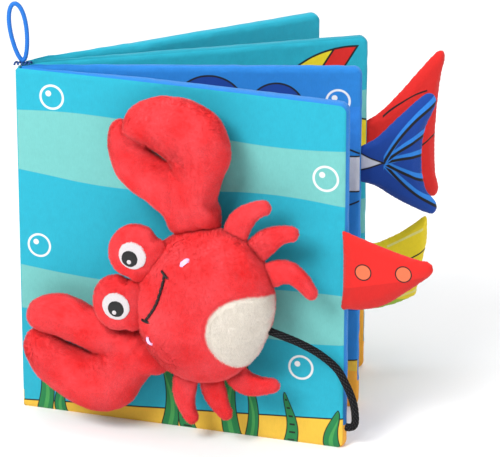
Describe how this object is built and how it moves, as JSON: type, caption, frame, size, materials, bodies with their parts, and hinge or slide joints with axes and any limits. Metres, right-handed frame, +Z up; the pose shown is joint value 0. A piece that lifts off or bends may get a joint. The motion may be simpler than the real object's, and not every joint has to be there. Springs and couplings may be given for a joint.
{
  "type": "crinkle cloth book",
  "caption": "Soft cloth book: padded crinkle leaves on a cloth spine, cloth fish tails, a hanging loop and a plush crab held on the cover by hook and loop and a tether.",
  "frame": {"origin": "middle of the book's foot, on the surface it stands on", "axes": "+Z up the leaves, -Y the way the front cover faces, -X towards the spine"},
  "size_m": [0.2372, 0.1842, 0.2302],
  "materials": {
    "turquoise_print": "printed woven cloth, matt",
    "blue_print": "printed woven cloth, matt",
    "crinkle_film": "clear crackling film",
    "wadding": "soft polyester wadding",
    "blue_cord": "woven cord",
    "red_print": "printed woven cloth, matt",
    "navy_print": "printed woven cloth, matt",
    "yellow_print": "printed woven cloth, matt",
    "hook_tape": "hook and loop tape",
    "red_plush": "short pile plush",
    "cream_plush": "short pile plush",
    "black_thread": "braided cord and thread",
    "lilac_thread": "satin stitch",
    "white_embroidery": "satin stitch"
  },
  "bodies": {
    "spine": {"spine_seam": "blue_cord", "loop_bartack": "blue_cord"},
    "front_cover": {"front_cover_front_cloth": "turquoise_print", "front_cover_back_cloth": "blue_print", "front_cover_crinkle_film": "crinkle_film", "front_cover_wadding": "wadding", "crab_hook_patch": "hook_tape", "tether_cord": "black_thread"},
    "leaf_2": {"leaf_2_front_cloth": "blue_print", "leaf_2_back_cloth": "turquoise_print", "leaf_2_crinkle_film": "crinkle_film", "leaf_2_wadding": "wadding", "spine_cloth_front": "turquoise_print"},
    "leaf_3": {"leaf_3_front_cloth": "turquoise_print", "leaf_3_back_cloth": "turquoise_print", "leaf_3_crinkle_film": "crinkle_film", "leaf_3_wadding": "wadding", "spine_cloth_back": "turquoise_print"},
    "back_cover": {"back_cover_front_cloth": "turquoise_print", "back_cover_back_cloth": "blue_print", "back_cover_crinkle_film": "crinkle_film", "back_cover_wadding": "wadding"},
    "hanging_loop": {"hanging_loop": "blue_cord"},
    "orange_dot_tail": {"orange_dot_tail_front_cloth": "red_print", "orange_dot_tail_back_cloth": "red_print", "orange_dot_tail_filling": "wadding"},
    "blue_tail": {"blue_tail_front_cloth": "navy_print", "blue_tail_back_cloth": "navy_print", "blue_tail_filling": "wadding"},
    "red_tail": {"red_tail_front_cloth": "red_print", "red_tail_back_cloth": "red_print", "red_tail_filling": "wadding"},
    "yellow_tail": {"yellow_tail_front_cloth": "yellow_print", "yellow_tail_back_cloth": "yellow_print", "yellow_tail_filling": "wadding"},
    "crab": {"crab_loop_patch": "hook_tape", "crab_front_panel": "red_plush", "crab_belly_patch": "cream_plush", "crab_back_panel": "red_plush", "crab_stuffing": "wadding", "crab_mouth": "black_thread", "upper_cheek_stitch": "lilac_thread", "lower_cheek_stitch": "lilac_thread"},
    "upper_claw": {"upper_claw": "red_plush"},
    "upper_eye": {"upper_eye_flap": "red_plush", "upper_eye_white": "white_embroidery", "upper_eye_pupil": "black_thread"},
    "upper_leg_1": {"upper_leg_1": "red_plush"},
    "upper_leg_2": {"upper_leg_2": "red_plush"},
    "upper_leg_3": {"upper_leg_3": "red_plush"},
    "lower_claw": {"lower_claw": "red_plush"},
    "lower_eye": {"lower_eye_flap": "red_plush", "lower_eye_white": "white_embroidery", "lower_eye_pupil": "black_thread"},
    "lower_leg_1": {"lower_leg_1": "red_plush"},
    "lower_leg_2": {"lower_leg_2": "red_plush"},
    "lower_leg_3": {"lower_leg_3": "red_plush"}
  },
  "joints": [
    {"name": "open_page_2", "type": "hinge", "parent": "spine", "child": "leaf_2", "pos_m": [-0.11214, -0.00788, 0], "axis": [0, 0, 1], "range_deg": [-84, 5.2]},
    {"name": "open_page_3", "type": "hinge", "parent": "spine", "child": "leaf_3", "pos_m": [-0.11214, -0.00788, 0], "axis": [0, 0, 1], "range_deg": [-5.2, 84]},
    {"name": "open_front_cover", "type": "hinge", "parent": "leaf_2", "child": "front_cover", "pos_m": [-0.11406, -0.01503, 0], "axis": [0, 0, 1], "range_deg": [-152, 9.5]},
    {"name": "open_back_cover", "type": "hinge", "parent": "leaf_3", "child": "back_cover", "pos_m": [-0.11023, -0.00074, 0], "axis": [0, 0, 1], "range_deg": [-8.8, 152]},
    {"name": "swing_hanging_loop", "type": "hinge", "parent": "spine", "child": "hanging_loop", "pos_m": [-0.1105, -0.00832, 0.1976], "axis": [1, 0, 0], "range_deg": [-70, 70], "stiffness_Nm_per_rad": 0.008},
    {"name": "flap_orange_dot_tail", "type": "hinge", "parent": "front_cover", "child": "orange_dot_tail", "pos_m": [0.06118, -0.07309, 0.079], "axis": [0, 0, 1], "range_deg": [-60, 60], "stiffness_Nm_per_rad": 0.02},
    {"name": "flap_blue_tail", "type": "hinge", "parent": "leaf_2", "child": "blue_tail", "pos_m": [0.07061, -0.01317, 0.111], "axis": [0, 0, 1], "range_deg": [-60, 60], "stiffness_Nm_per_rad": 0.02},
    {"name": "flap_red_tail", "type": "hinge", "parent": "leaf_3", "child": "red_tail", "pos_m": [0.07511, 0.0446, 0.097], "axis": [0, 0, 1], "range_deg": [-60, 60], "stiffness_Nm_per_rad": 0.02},
    {"name": "flap_yellow_tail", "type": "hinge", "parent": "leaf_3", "child": "yellow_tail", "pos_m": [0.07511, 0.0446, 0.033], "axis": [0, 0, 1], "range_deg": [-60, 60], "stiffness_Nm_per_rad": 0.02},
    {"name": "pull_off_crab", "type": "slide", "parent": "front_cover", "child": "crab", "axis": [-0.3173, -0.9483, 0], "range_m": [0, 0.06]},
    {"name": "bend_upper_claw", "type": "hinge", "parent": "crab", "child": "upper_claw", "pos_m": [-0.01819, -0.06398, 0.1238], "axis": [0.8993, -0.3009, 0.3173], "range_deg": [0, 45], "stiffness_Nm_per_rad": 0.06},
    {"name": "bend_upper_eye", "type": "hinge", "parent": "crab", "child": "upper_eye", "pos_m": [-0.04163, -0.06858, 0.10385], "axis": [0.5212, -0.1744, 0.8354], "range_deg": [0, 45], "stiffness_Nm_per_rad": 0.02},
    {"name": "bend_upper_leg_1", "type": "hinge", "parent": "crab", "child": "upper_leg_1", "pos_m": [0.00306, -0.07404, 0.1234], "axis": [0.882, -0.2951, -0.3673], "range_deg": [0, 60], "stiffness_Nm_per_rad": 0.02},
    {"name": "bend_upper_leg_2", "type": "hinge", "parent": "crab", "child": "upper_leg_2", "pos_m": [0.01441, -0.07784, 0.11528], "axis": [0.6545, -0.219, -0.7236], "range_deg": [0, 60], "stiffness_Nm_per_rad": 0.02},
    {"name": "bend_upper_leg_3", "type": "hinge", "parent": "crab", "child": "upper_leg_3", "pos_m": [0.02207, -0.0804, 0.10239], "axis": [0.3429, -0.1147, -0.9323], "range_deg": [0, 60], "stiffness_Nm_per_rad": 0.02},
    {"name": "bend_lower_claw", "type": "hinge", "parent": "crab", "child": "lower_claw", "pos_m": [-0.04145, -0.0562, 0.05192], "axis": [-0.5218, 0.1746, 0.835], "range_deg": [0, 36], "stiffness_Nm_per_rad": 0.06},
    {"name": "bend_lower_eye", "type": "hinge", "parent": "crab", "child": "lower_eye", "pos_m": [-0.04925, -0.06603, 0.0791], "axis": [0.044, -0.0147, 0.9989], "range_deg": [0, 45], "stiffness_Nm_per_rad": 0.02},
    {"name": "bend_lower_leg_1", "type": "hinge", "parent": "crab", "child": "lower_leg_1", "pos_m": [-0.02345, -0.06517, 0.03736], "axis": [-0.9183, 0.3073, 0.2495], "range_deg": [0, 60], "stiffness_Nm_per_rad": 0.02},
    {"name": "bend_lower_leg_2", "type": "hinge", "parent": "crab", "child": "lower_leg_2", "pos_m": [-0.00974, -0.06976, 0.03689], "axis": [-0.9329, 0.3121, -0.1797], "range_deg": [0, 60], "stiffness_Nm_per_rad": 0.02},
    {"name": "bend_lower_leg_3", "type": "hinge", "parent": "crab", "child": "lower_leg_3", "pos_m": [0.00364, -0.07424, 0.04257], "axis": [-0.7971, 0.2667, -0.5418], "range_deg": [0, 60], "stiffness_Nm_per_rad": 0.02}
  ]
}
